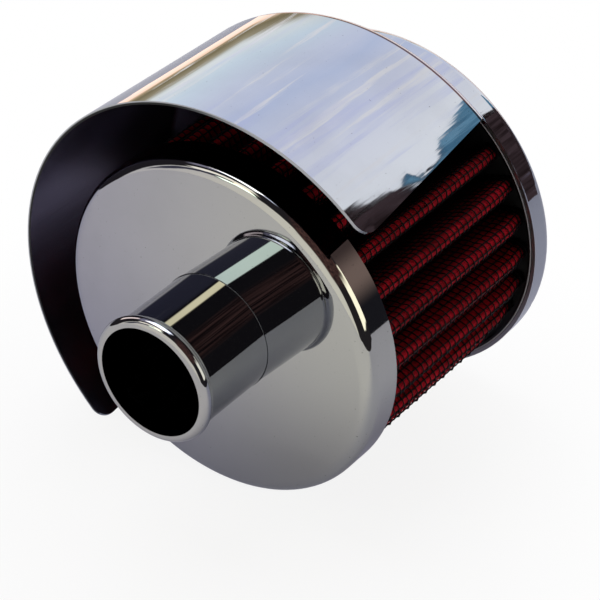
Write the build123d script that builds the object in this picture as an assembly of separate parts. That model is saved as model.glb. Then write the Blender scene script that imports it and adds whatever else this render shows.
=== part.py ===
from build123d import *
import os
from math import asin, cos, degrees, hypot, pi, radians, sin

# Crankcase breather filter with a chromed rain hood, lying on its side.
# Millimetres, +Z up. The origin is on the filter's axis, in the flat outer face of
# the base plate. The neck points along -Y and the closed end is at +Y.
# Directions round the axis are degrees from straight up, positive towards -X.

# End plates
element_length = 64.2       # outer face of the base plate to outer face of the top plate
plate_radius = 38.1
plate_sheet = 0.8
plate_corner = 2.8          # outer radius of the corner between face and rim
base_rim_depth = 8.9        # outer face to the free edge of the rim
top_rim_depth = 6.0

# Neck
neck_radius = 13.15
neck_wall = 1.0
neck_reach = 20.95          # how far it stands out of the base plate
neck_fit = 0.05             # round the tube, in the plate's hole
neck_lip = 0.3              # the end face's outer edge, in from the tube's outside
bead_rise = 0.9             # the rolled bead's height over the tube
bead_crest = 1.5            # crest, from the tube's free end
bead_width = 2.9
bead_root_radius = 0.8      # where the bead runs into the tube
neck_flange_radius = 18.0   # the inner end, swaged flat against the plate
neck_bend = 1.2
hole_edge_radius = 0.1

# Pleated pack
pleat_count = 28
pleat_phase = -49.6         # direction of one outer fold
pleat_clearance = 0.1       # outer folds to the inside of the rims
pleat_depth = 12.0
pack_thickness = 1.8        # gauze with a wire screen on each side
outer_fold_radius = 1.1     # middle of the sheet at an outer fold
inner_fold_radius = 1.2     # middle of the sheet at an inner fold
seal_thickness = 2.4        # bonded ring between a plate and the ends of the pleats

# Support core
core_clearance = 0.2        # inner folds to the core
core_sheet = 0.6
core_rows = 4               # staggered rows of diamond openings
core_columns = 8
core_strand = 3.0           # metal left between two openings
core_end_band = 4.0         # plain band at each end

# Rain hood
hood_sheet = 0.75
hood_fit = 0.05             # round the top plate's rim
hood_crown_radius = 2.5     # outer corner between the top and the band
hood_edge_setback = 0.15    # the top plate's rim shows by this much past the band
hood_rear_standoff = 11.1   # wall's outside from the plates' outside, at the shoulder
hood_flare = 1.2            # further out at the front edge
hood_shoulder_run = 10.8    # along the axis, band edge to the start of the wall
hood_shoulder_bend = 2.5
hood_band_bend = 1.0
hood_front_setback = 1.2    # front edge behind the base plate's face
hood_middle = 48.0          # direction of the middle of the hood
hood_trim_front = -2.1      # trimmed side edges, measured from the axis towards the middle
hood_trim_rear = 2.4
hood_trim_band = 2.0
hood_corner = 3.3           # rounded front corners
hood_notch_corner = 2.0     # where a side edge runs out into the band
trim_margin = 1.5           # blank left beyond a trimmed edge

# Derived sizes
seat_radius = plate_radius - plate_sheet
tip_radius = seat_radius - pleat_clearance
valley_radius = tip_radius - pleat_depth
pleat_start = plate_sheet + seal_thickness
pleat_end = element_length - plate_sheet - seal_thickness
core_radius = valley_radius - core_clearance
core_length = element_length - 2 * plate_sheet
core_row_pitch = (core_length - 2 * core_end_band) / (core_rows + 1)
band_edge = element_length - top_rim_depth + hood_edge_setback
band_radius = plate_radius + hood_fit + hood_sheet
hood_back = element_length + hood_sheet
hood_rear_radius = plate_radius + hood_rear_standoff
hood_front_radius = hood_rear_radius + hood_flare
hood_shoulder_y = band_edge - hood_shoulder_run
along_axis = (0, 1, 0)
cross_section = Plane.XZ


def turned(profile):
    """A full turn about the filter's axis of a profile drawn as (radius, y)."""
    return revolve(profile, Axis.Y, 360)


def pressed_sheet(points, corner_radii, sheet, side):
    """Half section of a pressed sheet, from the outside corners of its outer surface."""
    outside = FilletPolyline(*points, radius=corner_radii)
    return make_face(offset(outside, amount=sheet, side=side).edges())


def corner_at(sketch, x, y):
    return sketch.vertices().sort_by_distance((x, y, 0))[0]


def polar(radius, angle):
    """Point in the cross section, for an angle in degrees anticlockwise from +X."""
    return Vector(radius * cos(radians(angle)), radius * sin(radians(angle)))


def turn_from_up(direction):
    return direction + 90


def plate_profile(hole_radius, rim_depth):
    """Half section of a round cup with its face at y = 0 and its rim towards +Y."""
    outline = [(hole_radius, 0), (plate_radius, 0), (plate_radius, rim_depth)]
    return pressed_sheet(outline, [plate_corner], plate_sheet, Side.LEFT)


def from_closed_end(shape):
    """A shape drawn outwards from y = 0, turned round to face out at the closed end."""
    return Pos(0, element_length, 0) * Rot(X=180) * shape


def base_plate():
    hole_radius = neck_radius + neck_fit
    profile = plate_profile(hole_radius, base_rim_depth)
    profile = fillet(corner_at(profile, hole_radius, 0), hole_edge_radius)
    return turned(profile)


def top_plate():
    return from_closed_end(turned(plate_profile(0, top_rim_depth)))


def neck_tube():
    """Straight tube with a rolled bead at the free end and a swaged flange inside."""
    bore = neck_radius - neck_wall
    front = -neck_reach
    flange_back = plate_sheet + neck_wall
    lip = (neck_radius - neck_lip, front)
    crest = (neck_radius + bead_rise, front + bead_crest)
    bead_end = (neck_radius, front + bead_width)
    tube_root = (neck_radius, plate_sheet)
    profile = make_face([
        Line((bore, front), lip),
        ThreePointArc(lip, crest, bead_end),
        Line(bead_end, tube_root),
        Line(tube_root, (neck_flange_radius, plate_sheet)),
        Line((neck_flange_radius, plate_sheet), (neck_flange_radius, flange_back)),
        Line((neck_flange_radius, flange_back), (bore, flange_back)),
        Line((bore, flange_back), (bore, front)),
    ])
    profile = fillet(corner_at(profile, *bead_end), bead_root_radius)
    profile = fillet(corner_at(profile, bore, flange_back), neck_bend)
    return turned(profile)


def pleat_flank(tip, valley, tip_arc, valley_arc, side):
    """Ends of the straight flank that joins an outer fold to an inner fold.

    The flank touches the two fold arcs on opposite sides. side is 1 where the inner
    fold follows the outer one anticlockwise and -1 where it comes before it.
    """
    run = valley - tip
    lean = degrees(asin((tip_arc + valley_arc) / run.length))
    normal = run.normalized().rotate(Axis.Z, side * (lean - 90))
    return tip + normal * tip_arc, valley - normal * valley_arc


def pleat_outline(offset_out):
    """Closed star of folds, offset outwards from the middle of the folded sheet."""
    half_pitch = 180 / pleat_count
    tip_arc = outer_fold_radius + offset_out
    valley_arc = inner_fold_radius - offset_out
    tip_centre_radius = tip_radius - outer_fold_radius - pack_thickness / 2
    valley_centre_radius = valley_radius + inner_fold_radius + pack_thickness / 2
    edges = []
    for k in range(pleat_count):
        angle = turn_from_up(pleat_phase) + 2 * half_pitch * k
        tip = polar(tip_centre_radius, angle)
        before = polar(valley_centre_radius, angle - half_pitch)
        after = polar(valley_centre_radius, angle + half_pitch)
        following = polar(tip_centre_radius, angle + 2 * half_pitch)
        tip_start = pleat_flank(tip, before, tip_arc, valley_arc, -1)[0]
        tip_end, valley_start = pleat_flank(tip, after, tip_arc, valley_arc, 1)
        next_start, valley_end = pleat_flank(following, after, tip_arc, valley_arc, -1)
        crest = polar(tip_centre_radius + tip_arc, angle)
        root = polar(valley_centre_radius - valley_arc, angle + half_pitch)
        edges.append(ThreePointArc(tip_start, crest, tip_end))
        edges.append(Line(tip_end, valley_start))
        edges.append(ThreePointArc(valley_start, root, valley_end))
        edges.append(Line(valley_end, next_start))
    return Wire(edges)


def pleated_pack():
    """Gauze folded between its two wire screens, from seal to seal."""
    outer = pleat_outline(pack_thickness / 2)
    inner = pleat_outline(-pack_thickness / 2)
    section = cross_section * Face(outer, [inner])
    pack = extrude(section, amount=pleat_end - pleat_start, dir=along_axis)
    return Pos(0, pleat_start, 0) * pack


def end_seal():
    """Ring that fills a plate from the core to the rim."""
    ring = make_face(Polyline(
        (core_radius, plate_sheet),
        (seat_radius, plate_sheet),
        (seat_radius, pleat_start),
        (core_radius, pleat_start),
        close=True,
    ))
    ring = fillet(corner_at(ring, seat_radius, plate_sheet), plate_corner - plate_sheet)
    return turned(ring)


def core_opening():
    """Diamond cutter for the core, lying along +Z."""
    half_width = pi * core_radius / core_columns
    half_height = core_row_pitch
    half_strand = core_strand / 2
    kept = 1 - half_strand * hypot(1 / half_width, 1 / half_height)
    diamond = make_face(Polyline(
        (half_width * kept, 0),
        (0, half_height * kept),
        (-half_width * kept, 0),
        (0, -half_height * kept),
        close=True,
    ))
    return extrude(diamond, amount=core_radius + core_sheet)


def support_core():
    """Expanded steel tube from plate to plate."""
    tube = turned(make_face(Polyline(
        (core_radius - core_sheet, plate_sheet),
        (core_radius, plate_sheet),
        (core_radius, element_length - plate_sheet),
        (core_radius - core_sheet, element_length - plate_sheet),
        close=True,
    )))
    cutter = core_opening()
    openings = []
    for row in range(core_rows):
        y = plate_sheet + core_end_band + (row + 1) * core_row_pitch
        stagger = row % 2 / 2
        for column in range(core_columns):
            angle = (column + stagger) * 360 / core_columns
            openings.append(Pos(0, y, 0) * Rot(Y=angle) * cutter)
    return tube - openings


def hood_cup():
    """The hood before it is trimmed: top, band, shoulder and flared wall, all round."""
    front = hood_front_setback - trim_margin
    outline = [
        (0, hood_back),
        (band_radius, hood_back),
        (band_radius, band_edge),
        (hood_rear_radius, hood_shoulder_y),
        (hood_front_radius, front),
    ]
    bends = [hood_crown_radius, hood_band_bend, hood_shoulder_bend]
    return turned(pressed_sheet(outline, bends, hood_sheet, Side.RIGHT))


def hood_trim():
    """What is kept of the cup, seen square to the plane through its middle."""
    reach = hood_front_radius + trim_margin
    outline = make_face(Polyline(
        (reach, hood_front_setback),
        (hood_trim_front, hood_front_setback),
        (hood_trim_rear, hood_shoulder_y),
        (hood_trim_band, band_edge),
        (-reach, band_edge),
        (-reach, hood_back + trim_margin),
        (reach, hood_back + trim_margin),
        close=True,
    ))
    outline = fillet(corner_at(outline, hood_trim_front, hood_front_setback), hood_corner)
    outline = fillet(corner_at(outline, hood_trim_band, band_edge), hood_notch_corner)
    middle = Vector(-sin(radians(hood_middle)), 0, cos(radians(hood_middle)))
    side_view = Plane((0, 0, 0), x_dir=middle, z_dir=middle.cross(Vector(0, 1, 0)))
    return extrude(side_view * outline, amount=reach, both=True)


def rain_hood():
    return hood_cup() & hood_trim()


def build():
    return {
        "base_plate": base_plate(),
        "neck_tube": neck_tube(),
        "top_plate": top_plate(),
        "pleated_pack": pleated_pack(),
        "support_core": support_core(),
        "base_seal": end_seal(),
        "top_seal": from_closed_end(end_seal()),
        "rain_hood": rain_hood(),
    }


os.makedirs("parts", exist_ok=True)
for name, shape in build().items():
    export_step(shape, f"parts/{name}.step")
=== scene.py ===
import math
import random
import bpy
from mathutils import Matrix, Vector


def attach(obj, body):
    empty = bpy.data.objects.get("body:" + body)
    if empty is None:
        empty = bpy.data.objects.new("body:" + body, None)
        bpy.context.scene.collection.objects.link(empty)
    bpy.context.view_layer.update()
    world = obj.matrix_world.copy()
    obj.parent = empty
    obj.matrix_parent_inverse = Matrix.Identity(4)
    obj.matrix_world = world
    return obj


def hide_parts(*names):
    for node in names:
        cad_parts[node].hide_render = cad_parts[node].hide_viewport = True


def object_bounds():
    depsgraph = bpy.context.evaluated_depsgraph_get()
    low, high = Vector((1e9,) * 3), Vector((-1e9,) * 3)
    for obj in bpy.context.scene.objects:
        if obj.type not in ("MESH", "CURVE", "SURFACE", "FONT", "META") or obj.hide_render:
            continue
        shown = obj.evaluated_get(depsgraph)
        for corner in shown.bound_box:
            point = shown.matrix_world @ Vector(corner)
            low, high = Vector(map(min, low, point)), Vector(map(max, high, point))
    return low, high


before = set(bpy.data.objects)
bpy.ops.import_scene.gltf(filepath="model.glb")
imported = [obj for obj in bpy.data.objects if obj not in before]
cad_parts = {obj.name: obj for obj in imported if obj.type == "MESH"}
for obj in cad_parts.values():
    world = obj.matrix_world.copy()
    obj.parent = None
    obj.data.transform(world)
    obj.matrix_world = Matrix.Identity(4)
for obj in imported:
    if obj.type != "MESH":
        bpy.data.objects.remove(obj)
cad_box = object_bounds()

MM = 0.001

# The folded sheet, in millimetres, as in the part's source
PLEATS = 28
PHASE = -49.6  # degrees
TIP_RADIUS = 37.2
VALLEY_RADIUS = 25.2
PACK = 1.8  # thickness
OUTER_FOLD = 1.1  # radius of the sheet's middle in a fold
INNER_FOLD = 1.2
PACK_START = 3.2
PACK_END = 61.0

# The woven wire and the gauze. Offsets are from the middle of the folded sheet, outwards.
WIRE = 0.30
CELLS_ALONG = 35
CREST_CELLS = 2.6  # cells this near to a crest get more points
GAUZE_OFFSET = 0.30
HOOP_OFFSET = 0.70
HOOP_CRIMP = 0.10
HOOP_WANDER = 0.06
STRAIGHT_OFFSET = 0.52
STRAIGHT_SIDES = 5
PILLOW = 0.22
PILLOW_LEAST = 0.85
PILLOW_MORE = 0.3
GAUZE_SEED = 5
WIRE_SEED = 11

# The crests sink as they go into the closed end's compound
SINK_START = 54.0
SINK_END = 58.0
SINK = 0.8

# Places on the solids
PLATE_RADIUS = 38.1
HOOD_FRONT_RADIUS = 50.4
HOOD_REAR_BEND = 46.85

WHITE = (1.0, 1.0, 1.0)


def fold_line(offset, crest_steps, flank_steps, root_steps):
    """Points of one pleat's section, from root to root."""
    half = math.pi / PLEATS
    tip_arc = OUTER_FOLD + offset
    root_arc = INNER_FOLD - offset
    tip = Vector((TIP_RADIUS - OUTER_FOLD - PACK / 2, 0))
    root_r = VALLEY_RADIUS + INNER_FOLD + PACK / 2
    root = Vector((root_r * math.cos(half), root_r * math.sin(half)))
    run = root - tip
    lean = math.asin((tip_arc + root_arc) / run.length)
    normal_angle = math.atan2(run.y, run.x) + lean - math.pi / 2
    points = []
    for k in range(crest_steps + 1):
        a = normal_angle * k / crest_steps
        points.append(tip + tip_arc * Vector((math.cos(a), math.sin(a))))
    normal = Vector((math.cos(normal_angle), math.sin(normal_angle)))
    start, end = tip + normal * tip_arc, root - normal * root_arc
    for k in range(1, flank_steps):
        points.append(start.lerp(end, k / flank_steps))
    inward = normal_angle + math.pi
    to_axis = half + math.pi
    for k in range(root_steps + 1):
        a = inward + (to_axis - inward) * k / root_steps
        points.append(root + root_arc * Vector((math.cos(a), math.sin(a))))
    mirrored = [Vector((p.x, -p.y)) for p in reversed(points[1:])]
    return mirrored + points


def lengths(points):
    """Length of the line up to each point."""
    total, out = 0.0, [0.0]
    for p, q in zip(points, points[1:]):
        total += (q - p).length
        out.append(total)
    return out


def at_length(points, along, s):
    """Point and direction of the line at length s."""
    for k in range(len(along) - 1):
        if s <= along[k + 1] or k == len(along) - 2:
            t = (s - along[k]) / (along[k + 1] - along[k])
            return points[k].lerp(points[k + 1], t), (points[k + 1] - points[k]).normalized()


def turned(p, pleat):
    """A point of the first pleat's section, in another pleat."""
    a = math.radians(PHASE + 90) + pleat * 2 * math.pi / PLEATS
    return Vector((p.x * math.cos(a) - p.y * math.sin(a), p.x * math.sin(a) + p.y * math.cos(a)))


def placed(p, y):
    """A point of the cross section at y, sunk towards the axis near the closed end."""
    t = min(max((y - SINK_START) / (SINK_END - SINK_START), 0), 1)
    depth = max(p.length - VALLEY_RADIUS, 0) / (TIP_RADIUS - VALLEY_RADIUS)
    q = p * (1 - SINK * t * t * (3 - 2 * t) * depth / p.length)
    return Vector((q.x, y, q.y))


FINE = fold_line(GAUZE_OFFSET, crest_steps=24, flank_steps=40, root_steps=16)
FINE_LENGTHS = lengths(FINE)
PLEAT_LENGTH = FINE_LENGTHS[-1]
PITCH = (PACK_END - PACK_START) / CELLS_ALONG
CELLS_ACROSS = round(PLEAT_LENGTH / PITCH)


def on_fold(share, offset):
    """Point and outward normal at a share of one pleat's length."""
    p, along = at_length(FINE, FINE_LENGTHS, share * PLEAT_LENGTH)
    normal = Vector((along.y, -along.x))
    return p + normal * (offset - GAUZE_OFFSET), normal


def on_pleat(cell, pleat, offset, y):
    """Point and outward normal on a pleat, cell counting the cells across it."""
    p, n = on_fold(cell / CELLS_ACROSS, offset)
    out = turned(n, pleat)
    return placed(turned(p, pleat), y), Vector((out.x, 0, out.y))


def at_crest(cell):
    return abs(cell + 0.5 - CELLS_ACROSS / 2) < CREST_CELLS


def new_object(name, verts, faces, smooth=True):
    mesh = bpy.data.meshes.new(name)
    mesh.from_pydata([tuple(c * MM for c in v) for v in verts], [], faces)
    mesh.validate()
    mesh.polygons.foreach_set("use_smooth", [smooth] * len(mesh.polygons))
    obj = bpy.data.objects.new(name, mesh)
    bpy.context.scene.collection.objects.link(obj)
    return obj


def gauze():
    """The folded sheet, pressed into a small pillow in each cell of the wire."""
    shares = []
    for cell in range(CELLS_ACROSS):
        parts = 4 if at_crest(cell) else 2
        shares += [(cell + k / parts) / CELLS_ACROSS for k in range(parts)]
    sections = [on_fold(share, GAUZE_OFFSET) for share in shares]
    rows = CELLS_ALONG * 2 + 1
    columns = PLEATS * len(shares)
    random.seed(GAUZE_SEED)
    verts, us = [], []
    for row in range(rows):
        y = PACK_START + (PACK_END - PACK_START) * row / (rows - 1)
        height = PILLOW * (row % 2)
        for pleat in range(PLEATS):
            for share, (p, n) in zip(shares, sections):
                lift = height * abs(math.sin(math.pi * share * CELLS_ACROSS)) ** 0.7
                p = p + n * lift * (PILLOW_LEAST + PILLOW_MORE * random.random())
                verts.append(placed(turned(p, pleat), y))
                us.append((pleat + share) * PLEAT_LENGTH)
    faces = []
    for row in range(rows - 1):
        here, above = row * columns, (row + 1) * columns
        for c in range(columns):
            d = (c + 1) % columns
            faces.append((here + c, here + d, above + d, above + c))
    obj = new_object("pleated_gauze", verts, faces)
    lay_cloth(obj, us)
    return obj


def lay_cloth(obj, us):
    """The cloth's own map, in millimetres. us holds each point's length round the folds."""
    layer = obj.data.uv_layers.new(name="cloth")
    whole = PLEATS * PLEAT_LENGTH
    for poly in obj.data.polygons:
        first = us[obj.data.loops[poly.loop_start].vertex_index]
        for loop in poly.loop_indices:
            v = obj.data.loops[loop].vertex_index
            u = us[v]
            if u - first < -whole / 2:
                u += whole
            if u - first > whole / 2:
                u -= whole
            layer.data[loop].uv = (u, obj.data.vertices[v].co.y / MM)


def tube(centres, normals, sides, radius, closed):
    """A tube through the points. normals holds two directions a point."""
    verts, faces = [], []
    for c, (n, b) in zip(centres, normals):
        for k in range(sides):
            a = 2 * math.pi * (k + 0.5) / sides
            verts.append(c + (n * math.cos(a) + b * math.sin(a)) * radius)
    count = len(centres)
    for i in range(count if closed else count - 1):
        j = (i + 1) % count
        for k in range(sides):
            m = (k + 1) % sides
            faces.append((i * sides + k, j * sides + k, j * sides + m, i * sides + m))
    return verts, faces


def wire_screen(name, side, hoop_sides, crimp):
    """Hoops that follow the pleats, and straight wires along the axis.

    side is 1 outside the gauze and -1 inside it.
    """
    verts, faces = [], []

    def add(v, f):
        base = len(verts)
        verts.extend(v)
        faces.extend(tuple(i + base for i in face) for face in f)

    axis = Vector((0, 1, 0))
    random.seed(WIRE_SEED)
    offset = HOOP_OFFSET * side
    for hoop in range(1, CELLS_ALONG):
        y = PACK_START + hoop * PITCH
        points = []
        for pleat in range(PLEATS):
            for cell in range(CELLS_ACROSS):
                over = crimp if (cell + hoop) % 2 else -crimp
                wander = random.uniform(-HOOP_WANDER, HOOP_WANDER)
                points.append(on_pleat(cell, pleat, offset + over, y + wander))
                if at_crest(cell):
                    points.append(on_pleat(cell + 0.5, pleat, offset, y))
        centres = [p for p, _ in points]
        add(*tube(centres, [(n, axis) for _, n in points], hoop_sides, WIRE / 2, True))
    stops = (PACK_START, SINK_START, (SINK_START + SINK_END) / 2, SINK_END, PACK_END)
    for pleat in range(PLEATS):
        for cell in range(CELLS_ACROSS):
            points = [on_pleat(cell, pleat, STRAIGHT_OFFSET * side, y) for y in stops]
            centres = [p for p, _ in points]
            normals = [(n, n.cross(axis)) for _, n in points]
            add(*tube(centres, normals, STRAIGHT_SIDES, WIRE / 2, False))
    return new_object(name, verts, faces)


class Nodes:
    """Short ways to add nodes to a node tree."""

    def __init__(self, tree):
        self.tree = tree

    def node(self, kind, **settings):
        n = self.tree.nodes.new(kind)
        for key, value in settings.items():
            if hasattr(n, key):
                setattr(n, key, value)
            else:
                n.inputs[key.replace("_", " ")].default_value = value
        return n

    def link(self, source, target):
        self.tree.links.new(source, target)

    def feed(self, n, *values):
        for socket, value in zip(n.inputs, values):
            if isinstance(value, bpy.types.NodeSocket):
                self.link(value, socket)
            else:
                socket.default_value = value
        return n

    def coords(self, scale=(1, 1, 1), kind="Object"):
        """Position in millimetres times scale, or the cloth's own map."""
        c = self.node("ShaderNodeTexCoord")
        m = self.node("ShaderNodeMapping")
        per = 1 / MM if kind == "Object" else 1
        m.inputs["Scale"].default_value = [v * per for v in scale]
        self.link(c.outputs[kind], m.inputs["Vector"])
        return m.outputs["Vector"]

    def part(self, vector, axis):
        return self.feed(self.node("ShaderNodeSeparateXYZ"), vector).outputs[axis]

    def noise(self, vector, scale=1.0, detail=3.0, roughness=0.5):
        n = self.node("ShaderNodeTexNoise", Scale=scale, Detail=detail, Roughness=roughness)
        self.link(vector, n.inputs["Vector"])
        return n.outputs["Fac"]

    def ramp(self, fac, stops):
        n = self.node("ShaderNodeValToRGB")
        self.link(fac, n.inputs["Fac"])
        while len(n.color_ramp.elements) < len(stops):
            n.color_ramp.elements.new(0.5)
        for element, (position, color) in zip(n.color_ramp.elements, stops):
            element.position = position
            element.color = (*color, 1)
        return n.outputs["Color"]

    def maths(self, operation, *values):
        return self.feed(self.node("ShaderNodeMath", operation=operation), *values).outputs[0]

    def times(self, a, b):
        return self.maths("MULTIPLY", a, b)

    def vector_maths(self, operation, *values):
        n = self.feed(self.node("ShaderNodeVectorMath", operation=operation), *values)
        return n.outputs["Value" if operation in ("DOT_PRODUCT", "LENGTH") else "Vector"]

    def step(self, value, low, high):
        """0 below low and 1 above high, or the other way round where low is the larger."""
        n = self.node("ShaderNodeMapRange", interpolation_type="SMOOTHSTEP")
        return self.feed(n, value, low, high, 0.0, 1.0).outputs["Result"]

    def within(self, value, span, soft):
        """1 inside the span, with soft edges."""
        low, high = span
        rise = self.step(value, low - soft, low + soft)
        return self.times(rise, self.step(value, high + soft, high - soft))

    def between(self, share, a, b):
        """The number at a share of the way from a to b."""
        rest = self.maths("SUBTRACT", 1.0, share)
        return self.maths("ADD", self.times(b, share), self.times(a, rest))

    def mix(self, share, a, b):
        """The color at a share of the way from a to b."""
        n = self.node("ShaderNodeMix", data_type="RGBA")
        for k, value in ((0, share), (6, a), (7, b)):
            if isinstance(value, bpy.types.NodeSocket):
                self.link(value, n.inputs[k])
            else:
                n.inputs[k].default_value = value if k == 0 else (*value, 1)
        return n.outputs[2]

    def bump(self, height, distance, after=None):
        n = self.node("ShaderNodeBump", Distance=distance * MM)
        self.link(height, n.inputs["Height"])
        if after is not None:
            self.link(after, n.inputs["Normal"])
        return n.outputs["Normal"]


class Material(Nodes):
    """A Principled material."""

    def __init__(self, name):
        self.material = bpy.data.materials.new(name)
        self.material.use_nodes = True
        super().__init__(self.material.node_tree)
        self.shader = self.tree.nodes["Principled BSDF"]

    def set(self, **values):
        for key, value in values.items():
            socket = self.shader.inputs[key.replace("_", " ")]
            if isinstance(value, bpy.types.NodeSocket):
                self.link(value, socket)
            else:
                socket.default_value = value

    def facing(self, direction):
        """How far the surface faces a direction."""
        normal = self.node("ShaderNodeTexCoord").outputs["Normal"]
        return self.vector_maths("DOT_PRODUCT", direction, normal)

    def from_axis(self):
        """The way from the axis to the surface, in millimetres."""
        return self.vector_maths("MULTIPLY", self.coords(), (1, 0, 1))

    def radius(self):
        return self.vector_maths("LENGTH", self.from_axis())


def grey(v):
    return (v, v, v)


FRONT = (0, -1, 0)
DUST = (0.06, 0.05, 0.05)
# Painted reflection: a dark line along the hood's rear bend
PAINTED_BEND_REFLECTION = (0.08, 0.036, 0.036)
# Cut edges: near black as painted shade, and lighter lines along them as painted highlights
PAINTED_CUT_SHADE = grey(0.03)
PAINTED_LIP_HIGHLIGHT = (0.46, 0.47, 0.50)
PAINTED_RIM_HIGHLIGHT = (0.40, 0.40, 0.43)

# Spans in millimetres over which one tone turns to another
LIGHTER_SIDE_X = (-45.0, 35.0)
INSIDE_X = (-20.0, -42.0)
LIP_X = (-12.0, 16.0)
NEAR_RADIUS = (39.5, 40.0)


def chrome(name, tint, waves, dust=0.80, drift=None, front=None, lean=None, line=None, sheet=None):
    """Polished plating: waves left by the press, faint smears, dust and some painted light.

    waves is a list of (scale, height). Less of the noise than dust is clean. drift is the
    tint that it turns to towards +X, painted light that makes that side lighter. front is
    the tint where it faces the front, painted light that makes those faces lighter. lean is
    a slope, in X and Z. line is the distance along the axis of a dark line on a bend, a
    painted reflection. sheet says how sheet_sides() finishes it.
    """
    m = Material(name)
    place = m.coords()
    smear = m.noise(m.coords(grey(0.06)), detail=4.0)
    color = m.mix(m.step(smear, 0.35, 0.70), tint, [c * 0.93 for c in tint])
    # Painted light: the tint turns to drift towards +X, so that side is lighter.
    if drift:
        color = m.mix(m.step(m.part(place, "X"), *LIGHTER_SIDE_X), color, drift)
    # Painted light: faces towards the front turn to the lighter front tint.
    if front:
        color = m.mix(m.step(m.facing(FRONT), 0.10, 0.60), color, front)
    specks = m.noise(m.coords(grey(2.6)), detail=1.0)
    color = m.mix(m.step(specks, dust - 0.015, dust), color, DUST)
    # Painted reflection: a dark line along a bend, at line along the axis.
    if line:
        off = m.maths("ABSOLUTE", m.maths("SUBTRACT", m.part(place, "Y"), line))
        color = m.mix(m.step(off, 0.36, 0.20), color, PAINTED_BEND_REFLECTION)
    rough = m.ramp(smear, [(0.35, grey(0.015)), (0.75, grey(0.045))])
    metal = 1.0
    if sheet:
        color, rough, metal = sheet_sides(m, color, rough, **sheet)
    m.set(Metallic=metal, Base_Color=color, Roughness=rough)
    bumped = None
    for scale, height in waves:
        bumped = m.bump(m.noise(m.coords(scale), detail=2.0, roughness=0.45), height, bumped)
    if lean:
        slope = m.vector_maths("DOT_PRODUCT", place, (lean[0], 0, lean[1]))
        bumped = m.bump(slope, 1.0, bumped)
    m.set(Normal=bumped)
    return m.material


def sheet_sides(m, color, rough, inside, lip=None, near=PAINTED_CUT_SHADE, edge_highlight=None):
    """Color, roughness and metal of a sheet with a rough, dark inner side, and cut edges in
    near-black painted shade with painted highlight lines.

    inside holds the two tones, to the right and to the left, of the side that faces the
    axis. lip is the radius of the front edge, which gets a painted highlight, near the tone
    of the cut edges within 40 mm of the axis, and burr the radius of a cut edge with a
    painted highlight along its outer line.
    """
    across = m.part(m.coords(), "X")
    outside = m.step(m.facing(m.from_axis()), -6.0, -3.0)
    # Inner side: inside's right tone, with noisy patches of its left tone towards -X; on the hood
    # these are painted shade and a painted reflection.
    blotch_and_painted_patch = m.step(m.noise(m.coords((0.05, 0.02, 0.05)), detail=4.0), 0.25, 0.60)
    left = m.times(blotch_and_painted_patch, m.step(across, *INSIDE_X))
    color = m.mix(outside, m.mix(left, *inside), color)
    rough = m.mix(outside, grey(0.27), rough)
    # Cut edges facing the front: near black as painted shade, but the near tone within 40 mm of
    # the axis.
    edge = m.step(m.facing(FRONT), 0.80, 0.90)
    radius = m.radius()
    color = m.mix(edge, color, m.mix(m.step(radius, *NEAR_RADIUS), near, PAINTED_CUT_SHADE))
    rough = m.mix(edge, rough, grey(0.35))
    metal = 1.0
    # Painted highlight on the lip: a thin outer line all round, and the whole edge towards +X.
    if lip:
        bright = m.times(m.step(radius, lip - 5, lip - 4), m.step(across, *LIP_X))
        bright = m.maths("MAXIMUM", bright, m.step(radius, lip - 0.40, lip - 0.25))
        color = m.mix(m.times(edge, bright), color, PAINTED_LIP_HIGHLIGHT)
    # Painted highlight: a thin light line, not metal, along the cut edge at burr.
    if edge_highlight:
        highlighted_rim = m.times(edge, m.step(radius, edge_highlight - 0.34, edge_highlight - 0.28))
        color = m.mix(highlighted_rim, color, PAINTED_RIM_HIGHLIGHT)
        metal = m.maths("SUBTRACT", 1.0, highlighted_rim)
    return color, rough, metal


OILED_GAUZE = [
    (0.30, (0.18, 0.002, 0.007)),
    (0.52, (0.34, 0.003, 0.013)),
    (0.72, (0.54, 0.006, 0.021)),
]
# Painted shade: the gauze darkens from the crests down into the valleys, by radius.
PAINTED_VALLEY_SHADE = (0.055, 0.001, 0.003)
# Painted shade: near black where the crests run in towards the closed end.
PAINTED_END_SHADE = (0.006, 0.003, 0.004)
VALLEY_SHADE_FADES = (28.0, 36.8)  # by radius
END_SHADE_EDGE = (58.9, 59.6)  # along the axis
THREADS = {"wave_type": "BANDS", "Scale": 0.85, "Distortion": 0.6}


def gauze_material():
    """Oiled red cotton: over and under threads. Painted shade darkens it away from the crests
    and near the closed end.
    """
    m = Material("red_gauze")
    m.set(Roughness=0.7, Specular_IOR_Level=0.10)
    pool = m.noise(m.coords((0.35, 0.12, 1), "UV"), detail=4.0, roughness=0.6)
    color = m.ramp(pool, OILED_GAUZE)
    # Painted shade, darker towards the valleys
    color = m.mix(m.step(m.radius(), *VALLEY_SHADE_FADES), PAINTED_VALLEY_SHADE, color)
    # Painted shade: near black towards the closed end, with an uneven edge
    uneven = m.times(m.noise(m.coords(grey(0.7))), 1.6)
    along = m.maths("ADD", m.part(m.coords(), "Y"), uneven)
    color = m.mix(m.step(along, *END_SHADE_EDGE), color, PAINTED_END_SHADE)
    m.set(Base_Color=color)
    cloth = m.coords(kind="UV")
    warp = m.node("ShaderNodeTexWave", bands_direction="X", **THREADS)
    weft = m.node("ShaderNodeTexWave", bands_direction="Y", **THREADS)
    m.link(cloth, warp.inputs["Vector"])
    m.link(cloth, weft.inputs["Vector"])
    m.set(Normal=m.bump(m.maths("ADD", warp.outputs["Fac"], weft.outputs["Fac"]), 0.04))
    return m.material


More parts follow.
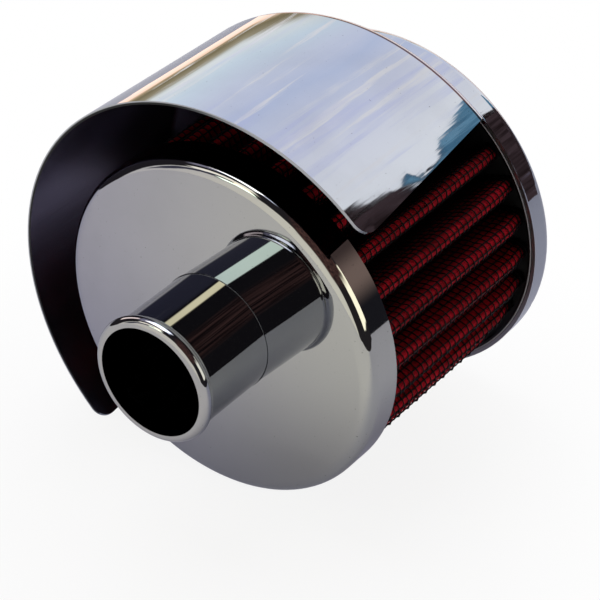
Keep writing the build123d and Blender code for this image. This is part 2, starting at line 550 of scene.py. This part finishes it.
def wire_material():
    """Black lacquered wire with a little wear."""
    m = Material("black_wire")
    m.set(Specular_IOR_Level=0.12)
    worn = m.noise(m.coords(grey(0.5)))
    m.set(Base_Color=m.ramp(worn, [(0.45, (0.002, 0.001, 0.002)), (0.75, (0.007, 0.005, 0.007))]))
    m.set(Roughness=m.ramp(worn, [(0.3, grey(0.35)), (0.8, grey(0.55))]))
    m.set(Normal=m.bump(m.noise(m.coords(grey(6)), detail=2.0), 0.01))
    return m.material


def seal_material():
    """Black bonding compound, poured and a little blotched."""
    m = Material("black_compound")
    m.set(IOR=1.45)
    blotch_and_painted_patch = m.noise(m.coords(grey(0.3)), detail=4.0)
    m.set(Base_Color=m.ramp(blotch_and_painted_patch, [(0.3, (0.008, 0.008, 0.009)), (0.8, (0.02, 0.02, 0.022))]))
    m.set(Roughness=m.ramp(blotch_and_painted_patch, [(0.3, grey(0.35)), (0.8, grey(0.6))]))
    m.set(Normal=m.bump(m.noise(m.coords(grey(1.5))), 0.08))
    return m.material


def zinc_material():
    """Dull zinc plating, with a grain that runs round the axis."""
    m = Material("zinc_steel")
    m.set(Metallic=1.0)
    grain = m.noise(m.coords((0.8, 6.0, 0.8)), detail=4.0)
    m.set(Base_Color=m.ramp(grain, [(0.3, grey(0.32)), (0.8, grey(0.5))]))
    m.set(Roughness=m.ramp(grain, [(0.3, grey(0.3)), (0.8, grey(0.45))]))
    m.set(Normal=m.bump(grain, 0.01))
    return m.material


PLATE_WAVES = [(grey(0.02), 0.02)]
NECK_WAVES = [
    ((0.05, 0.03, 0.05), 0.01),
    ((1.2, 0.04, 1.2), 0.006),
    ((4.0, 0.15, 4.0), 0.0008),
]
HOOD_WAVES = [
    ((0.05, 0.015, 0.05), 0.05),
    ((0.30, 0.035, 0.30), 0.025),
    ((1.6, 0.10, 1.6), 0.006),
]
# Near-black tones for the top plate's inner side
TOP_PLATE_INSIDE = [(0.010, 0.010, 0.011), (0.022, 0.021, 0.022)]
# The hood's inner side: near black as painted shade, with a lighter painted reflection on the left
HOOD_INSIDE_SHADE_AND_REFLECTION = [(0.038, 0.031, 0.038), (0.30, 0.27, 0.34)]
BAND_CUT = (0.42, 0.40, 0.41)

NODE_MATERIALS = {
    "base_plate": chrome(
        "plate_chrome",
        (0.375, 0.37, 0.43),
        PLATE_WAVES,
        dust=0.775,
        # painted light: the face is lighter and less blue towards +X
        drift=(0.485, 0.485, 0.455),
        lean=(0.0235, -0.017),
    ),
    "neck_tube": chrome(
        "neck_chrome",
        (0.315, 0.33, 0.37),
        NECK_WAVES,
        # painted light on the faces towards the front
        front=(0.43, 0.425, 0.43),
    ),
    "top_plate": chrome(
        "top_chrome",
        (0.40, 0.40, 0.42),
        PLATE_WAVES,
        sheet={"inside": TOP_PLATE_INSIDE, "edge_highlight": PLATE_RADIUS},
    ),
    "rain_hood": chrome(
        "hood_chrome",
        (0.39, 0.41, 0.46),
        HOOD_WAVES,
        # painted reflection: a dark line along the rear bend
        line=HOOD_REAR_BEND,
        sheet={"inside": HOOD_INSIDE_SHADE_AND_REFLECTION, "lip": HOOD_FRONT_RADIUS, "near": BAND_CUT},
    ),
    "support_core": zinc_material(),
    "base_seal": seal_material(),
    "top_seal": seal_material(),
}
for node, material in NODE_MATERIALS.items():
    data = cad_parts[node].data
    data.materials.clear()
    data.materials.append(material)

cloth = gauze()
cloth.data.materials.append(gauze_material())
wires = wire_material()
outer = wire_screen("outer_screen", side=1, hoop_sides=4, crimp=HOOP_CRIMP)
inner = wire_screen("inner_screen", side=-1, hoop_sides=3, crimp=0.0)
for piece in (outer, inner):
    piece.data.materials.append(wires)
for piece in (cloth, outer, inner):
    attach(piece, "root")
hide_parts("pleated_pack")


# The floor's own light for the camera, and in mirrored views in front of the object and
# behind it, where it is darker as a painted shadow
FLOOR_X = (-290, 350)
FLOOR_Y = (-600, 600)
FLOOR_GAP = 0.05
FLOOR_GLOW = 0.88
FLOOR_SHADOW_FADES = (50.0, 125.0)
FLOOR_GLOW_MIRRORED = 0.45
FLOOR_IN_FRONT = (0.88, 0.87, 0.84)
FLOOR_BEHIND_PAINTED_SHADOW = (0.29, 0.30, 0.43)


def floor():
    """A sheet of paper that ends on both sides, so that the wall beyond it is mirrored too."""
    z = cad_box[0].z / MM - FLOOR_GAP
    (left, right), (near, far) = FLOOR_X, FLOOR_Y
    corners = [(left, near, z), (right, near, z), (right, far, z), (left, far, z)]
    obj = new_object("floor", corners, [(0, 1, 2, 3)], smooth=False)
    m = Material("floor_paper")
    place = m.coords()
    tone = m.noise(m.coords(grey(0.004)), detail=2.0)
    paper = m.ramp(tone, [(0.3, grey(0.80)), (0.7, grey(0.83))])
    m.set(Roughness=0.9, Specular_IOR_Level=0.1, Base_Color=paper)
    rays = m.node("ShaderNodeLightPath").outputs
    seen = rays["Is Camera Ray"]
    mirrored = m.maths("MAXIMUM", rays["Is Glossy Ray"], rays["Is Transmission Ray"])
    away = m.step(m.vector_maths("LENGTH", place), *FLOOR_SHADOW_FADES)
    glow = m.maths("ADD", FLOOR_GLOW, m.times(away, 1 - FLOOR_GLOW))
    share = m.maths("ADD", m.times(seen, glow), m.times(mirrored, FLOOR_GLOW_MIRRORED))
    # Painted shadow: in mirrored views the floor's own light is darker behind the object.
    behind = m.step(m.part(place, "Y"), -70.0, 0.0)
    light = m.mix(seen, m.mix(behind, FLOOR_IN_FRONT, FLOOR_BEHIND_PAINTED_SHADOW), WHITE)
    own = m.node("ShaderNodeEmission", Strength=1.0)
    m.link(light, own.inputs["Color"])
    both = m.node("ShaderNodeMixShader")
    m.feed(both, share, m.shader.outputs[0], own.outputs[0])
    m.link(both.outputs[0], m.tree.nodes["Material Output"].inputs["Surface"])
    obj.data.materials.append(m.material)


# Bright and dark things round the object: turn from straight up in degrees towards -X,
# reach towards +Y as a share of the distance, softness of both, and radiance. Later ones
# are in front.
ROOM = [
    ((-200, 200), (-1.10, -0.74), (8, 0.03), (1.05, 1.02, 0.92)),  # bright front
    ((48, 115), (-0.78, -0.50), (6, 0.03), (1.00, 0.97, 0.90)),  # bright left of the front
    ((36, 92), (-0.68, -0.56), (5, 0.012), (0.09, 0.09, 0.13)),  # shade on the left
    ((52, 82), (0.04, 0.30), (2, 0.03), (1.90, 1.58, 1.50)),  # left window
    ((31, 50), (-0.20, 0.50), (4, 0.05), (0.42, 0.40, 0.52)),  # soft wall
    ((-3, 31), (-0.12, 0.52), (3, 0.05), (1.15, 1.25, 1.60)),  # light in the roof
    ((-87, -50), (0.03, 0.60), (1.2, 0.02), (2.10, 2.00, 1.60)),  # right window
    ((12, 55), (-0.55, -0.38), (3, 0.012), (1.80, 1.72, 1.50)),  # wide window
    ((17, 45), (-0.72, -0.63), (1.0, 0.006), (2.90, 3.40, 2.80)),  # low window
    ((18, 30), (-0.63, -0.56), (1.5, 0.006), (3.90, 3.50, 2.10)),  # narrow window
]
ROOM_DARK = (0.028, 0.025, 0.029)
BROWN_WALL = [(0.42, (0.018, 0.012, 0.014)), (0.62, (0.17, 0.085, 0.075))]
BROWN_WALL_TURNS = (-58, -15)
BROWN_WALL_REACHES = (-0.80, 0.50)
RIPPLE = 0.06

# The sky's radiance by turn, down to the land past the floor's left edge
SKY = [
    (-37, (1.60, 1.60, 1.56)),
    (-13, (1.48, 1.48, 1.52)),
    (3, (1.28, 1.30, 1.44)),
    (19, (1.16, 1.22, 1.42)),
    (30, (1.04, 1.14, 1.40)),
    (43, (1.16, 1.22, 1.42)),
    (56, (1.20, 1.26, 1.42)),
    (74, (1.20, 1.36, 1.44)),
    (85, (1.35, 1.40, 1.32)),
    (90, (0.55, 0.47, 0.30)),
    (96, (0.32, 0.26, 0.14)),
    (99, (0.75, 0.55, 0.32)),
    (101, (1.85, 1.30, 0.98)),
    (107, (2.05, 1.50, 1.22)),
]
CLOUD = (1.55, 1.50, 1.45)
HAZE = (1.06, 1.10, 1.46)
SKY_REACHES = (0.60, 0.64)

# How the sky's bands slant: reach where it starts, degrees for each unit of reach, and most
# degrees
SLANTS_RIGHT = [(0.739, 680.0, 15.0), (0.732, -600.0, 6.0)]
SLANT_LEFT = (0.702, 650.0, 24.0)

# What stands to the right of the sky
SKYLINE = (-39.6, -38.2)
BLUE_ROOFS = [(0.4, (0.10, 0.27, 0.41)), (0.65, (0.30, 0.60, 0.80))]
BROWN_TREES = [
    (0.40, (0.028, 0.017, 0.017)),
    (0.64, (0.10, 0.065, 0.068)),
    (0.76, (0.34, 0.32, 0.42)),
]
TAUPE_RIGHT = (0.016, 0.016, 0.022)
TAUPE_MIDDLE = (0.27, 0.195, 0.18)
TAUPE_LEFT = (0.075, 0.052, 0.052)


def turn_and_reach(n, way):
    """Turn from straight up towards -X in degrees, and reach towards +Y."""
    x, y, z = n.feed(n.node("ShaderNodeSeparateXYZ"), way).outputs
    return n.maths("DEGREES", n.maths("ARCTAN2", n.times(x, -1.0), z)), y


def room(n, direction):
    """A dark room with windows, in front of the object and beside it, seen a little rippled."""
    rippled = n.node("ShaderNodeTexNoise", Scale=9.0, Detail=3.0)
    n.link(direction, rippled.inputs["Vector"])
    ripple = n.vector_maths("SUBTRACT", rippled.outputs["Color"], grey(0.5))
    ripple = n.vector_maths("MULTIPLY", ripple, grey(RIPPLE))
    turn, y = turn_and_reach(n, n.vector_maths("ADD", direction, ripple))
    color = ROOM_DARK
    for turns, reaches, (turn_soft, reach_soft), radiance in ROOM:
        share = n.times(n.within(turn, turns, turn_soft), n.within(y, reaches, reach_soft))
        color = n.mix(share, color, radiance)
    wall = n.ramp(n.noise(direction, 30.0), BROWN_WALL)
    share = n.times(n.within(turn, BROWN_WALL_TURNS, 6), n.within(y, BROWN_WALL_REACHES, 0.06))
    return n.mix(share, color, wall)


def skyline(n, direction, turn, y, slanted):
    """Blue and brown things to the right, taupe below them."""
    blue = n.ramp(n.noise(direction, 25.0), BLUE_ROOFS)
    brown = n.ramp(n.noise(direction, 30.0), BROWN_TREES)
    blue_share = n.times(n.step(y, 0.735, 0.748), n.step(slanted, -52.0, -48.0))
    taupe = n.mix(n.step(turn, -82.0, -64.0), TAUPE_RIGHT, TAUPE_MIDDLE)
    taupe = n.mix(n.step(turn, -60.0, -44.0), taupe, TAUPE_LEFT)
    return n.mix(n.step(y, 0.715, 0.70), n.mix(blue_share, brown, blue), taupe)


def sky(n, direction, turn, y):
    """A cloudy sky behind the closed end. Its bands slant as they go back."""

    def beyond(start, slope, most):
        past = n.maths("MAXIMUM", n.times(n.maths("SUBTRACT", y, start), slope), 0.0)
        return n.maths("MINIMUM", past, most)

    shift = n.maths("ADD", *(beyond(*slant) for slant in SLANTS_RIGHT))
    right = n.maths("SUBTRACT", turn, shift)
    left = n.maths("ADD", turn, beyond(*SLANT_LEFT))
    slanted = n.between(n.step(turn, 20.0, 70.0), right, left)
    whole_turns = n.maths("ADD", n.maths("DIVIDE", slanted, 360.0), 0.5)
    color = n.ramp(whole_turns, [(degrees / 360 + 0.5, c) for degrees, c in SKY])
    cloud = n.noise(direction, 16.0, 4.0, 0.55)
    color = n.mix(n.step(cloud, 0.55, 0.68), color, CLOUD)
    haze = n.times(n.step(n.noise(direction, 11.0), 0.55, 0.7), 0.6)
    color = n.mix(haze, color, HAZE)
    return n.mix(n.step(slanted, *SKYLINE), skyline(n, direction, turn, y, slanted), color)


def surroundings():
    """What the chrome mirrors. The camera itself sees white."""
    world = bpy.data.worlds.new("studio")
    bpy.context.scene.world = world
    world.use_nodes = True
    n = Nodes(world.node_tree)
    direction = n.node("ShaderNodeTexCoord").outputs["Generated"]
    turn, y = turn_and_reach(n, direction)
    back = n.step(y, *SKY_REACHES)
    color = n.mix(back, room(n, direction), sky(n, direction, turn, y))
    color = n.mix(n.node("ShaderNodeLightPath").outputs["Is Camera Ray"], color, WHITE)
    background = n.tree.nodes["Background"]
    n.link(color, background.inputs["Color"])
    background.inputs["Strength"].default_value = 1.0


def softbox(name, place, aim, width, height, radiance, color):
    light = bpy.data.lights.new(name, "AREA")
    light.shape = "RECTANGLE"
    light.size, light.size_y = width, height
    light.energy = radiance * width * height * math.pi
    light.color = color
    obj = bpy.data.objects.new(name, light)
    obj.location = place
    obj.rotation_euler = (Vector(aim) - Vector(place)).to_track_quat("-Z", "Y").to_euler()
    bpy.context.scene.collection.objects.link(obj)


# The camera, solved from the circular edges in the photograph
LENS = 164.37
SENSOR = 36.0
CAMERA_PLACE = Vector((0.2735878, -0.3494554, 0.3251128))
CAMERA_RIGHT = Vector((0.8080963, 0.5890249, 0.0054806))
CAMERA_UP = Vector((-0.3462351, 0.4674394, 0.8134013))


def camera():
    data = bpy.data.cameras.new("camera")
    data.lens = LENS
    data.sensor_width = SENSOR
    data.clip_start, data.clip_end = 0.01, 50
    obj = bpy.data.objects.new("camera", data)
    bpy.context.scene.collection.objects.link(obj)
    back = CAMERA_RIGHT.cross(CAMERA_UP)
    rows = zip(CAMERA_RIGHT, CAMERA_UP, back, CAMERA_PLACE)
    obj.matrix_world = Matrix([*rows, (0, 0, 0, 1)])
    bpy.context.scene.camera = obj


floor()
surroundings()
softbox(
    "overhead",
    place=(-0.27, 0.14, 0.85),
    aim=(0, 0, 0),
    width=0.6,
    height=0.6,
    radiance=3.0,
    color=(1.0, 0.98, 0.95),
)
camera()
bpy.context.scene.view_settings.view_transform = "Standard"
